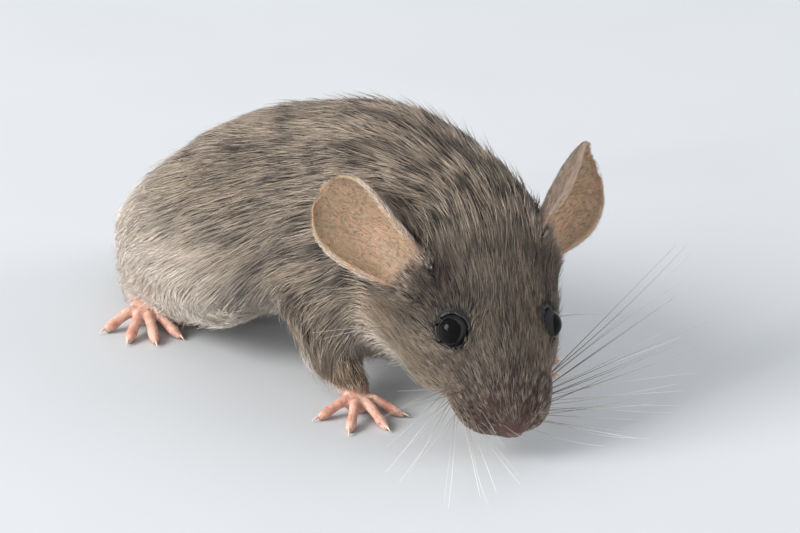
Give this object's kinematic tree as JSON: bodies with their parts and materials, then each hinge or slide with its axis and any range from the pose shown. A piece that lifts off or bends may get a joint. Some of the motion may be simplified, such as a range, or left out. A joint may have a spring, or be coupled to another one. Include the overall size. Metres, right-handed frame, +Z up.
{
  "type": "life-size model of a standing house mouse",
  "caption": "Life-size still model of a grey-brown mouse on four feet, head turned and lowered, tail curled on the floor; sits on any flat surface as a display figure.",
  "frame": {"origin": "middle of the bounding box of the whole mouse, on the floor it stands on", "axes": "+Z up; the body lies along Y with its nose towards -Y and its tail root towards +Y; +X is the mouse's own left"},
  "size_m": [0.0482, 0.0728, 0.0312],
  "materials": {
    "coat": "short soft agouti fur, light tips over a dark slate undercoat",
    "bare_skin": "thin matt pinkish skin with fine creases",
    "nose_skin": "moist bare pad",
    "eye": "wet gloss black",
    "claw": "pale translucent horn",
    "whisker": "stiff tapered hair"
  },
  "bodies": {
    "root": {"head": "coat", "nose": "nose_skin", "eye_left": "eye", "eye_right": "eye", "ear_left": "bare_skin", "ear_right": "bare_skin", "neck": "coat", "foreleg_right": "coat", "forefoot_right": "bare_skin", "foreleg_left": "coat", "forefoot_left": "bare_skin", "hindleg_right": "coat", "hindfoot_right": "bare_skin", "hindleg_left": "coat", "hindfoot_left": "bare_skin", "trunk": "coat", "tail_root": "bare_skin", "tail_upper": "bare_skin", "tail_lower": "bare_skin", "tail_tip": "bare_skin"}
  },
  "joints": []
}
